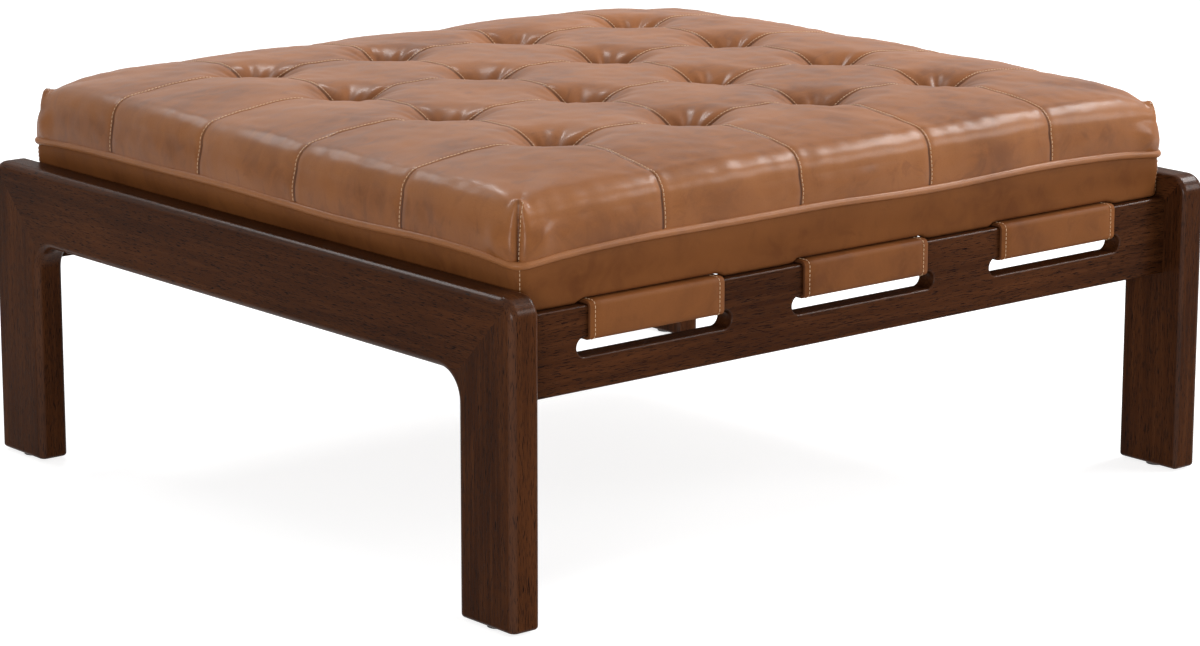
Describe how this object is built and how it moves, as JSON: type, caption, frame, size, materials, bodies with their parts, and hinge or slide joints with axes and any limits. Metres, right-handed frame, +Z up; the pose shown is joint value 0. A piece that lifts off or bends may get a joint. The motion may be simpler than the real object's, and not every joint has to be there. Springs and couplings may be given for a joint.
{
  "type": "ottoman coffee table",
  "caption": "Low square coffee table ottoman: a loose tufted leather cushion on leather straps in a dark mitred wood frame with slotted rails.",
  "frame": {"origin": "on the floor under the centre of the table, so the feet stand at Z = 0", "axes": "+Z up, +X along the slotted rails, with the side frames at the -X and +X ends, +Y from the front rail to the rear rail; the picture looks from the front left, at about 40 degrees to the Y axis"},
  "size_m": [0.914, 0.865, 0.411],
  "materials": {
    "dark_wood": "satin dark walnut stain and lacquer",
    "beech": "raw beech",
    "glide_nylon": "brown nylon",
    "zinc_steel": "zinc plated",
    "strap_leather": "cognac saddle leather, edge stitched",
    "cushion_leather": "semi-gloss cognac pull-up leather",
    "welt_leather": "cognac leather over a cord",
    "foam": "upholstery foam",
    "board_wood": "plywood",
    "bottom_fabric": "black non-woven dust cloth",
    "twine": "waxed tufting twine"
  },
  "bodies": {
    "frame": {"front_left_leg": "dark_wood", "rear_left_leg": "dark_wood", "front_right_leg": "dark_wood", "rear_right_leg": "dark_wood", "left_top_rail": "dark_wood", "right_top_rail": "dark_wood", "front_slotted_rail": "dark_wood", "rear_slotted_rail": "dark_wood", "mitre_dowels": "beech", "rail_dowels": "beech", "foot_glides": "glide_nylon", "corner_brackets": "zinc_steel", "bracket_screws": "zinc_steel", "left_strap": "strap_leather", "centre_strap": "strap_leather", "right_strap": "strap_leather"},
    "cushion": {"quilted_top": "cushion_leather", "lower_band": "cushion_leather", "welt_cord": "welt_leather", "foam_core": "foam", "base_board": "board_wood", "bottom_cloth": "bottom_fabric", "tuft_ties": "twine"}
  },
  "joints": [
    {"name": "cushion_lift", "type": "slide", "parent": "frame", "child": "cushion", "axis": [0, 0, 1], "range_m": [0, 0.12]}
  ]
}
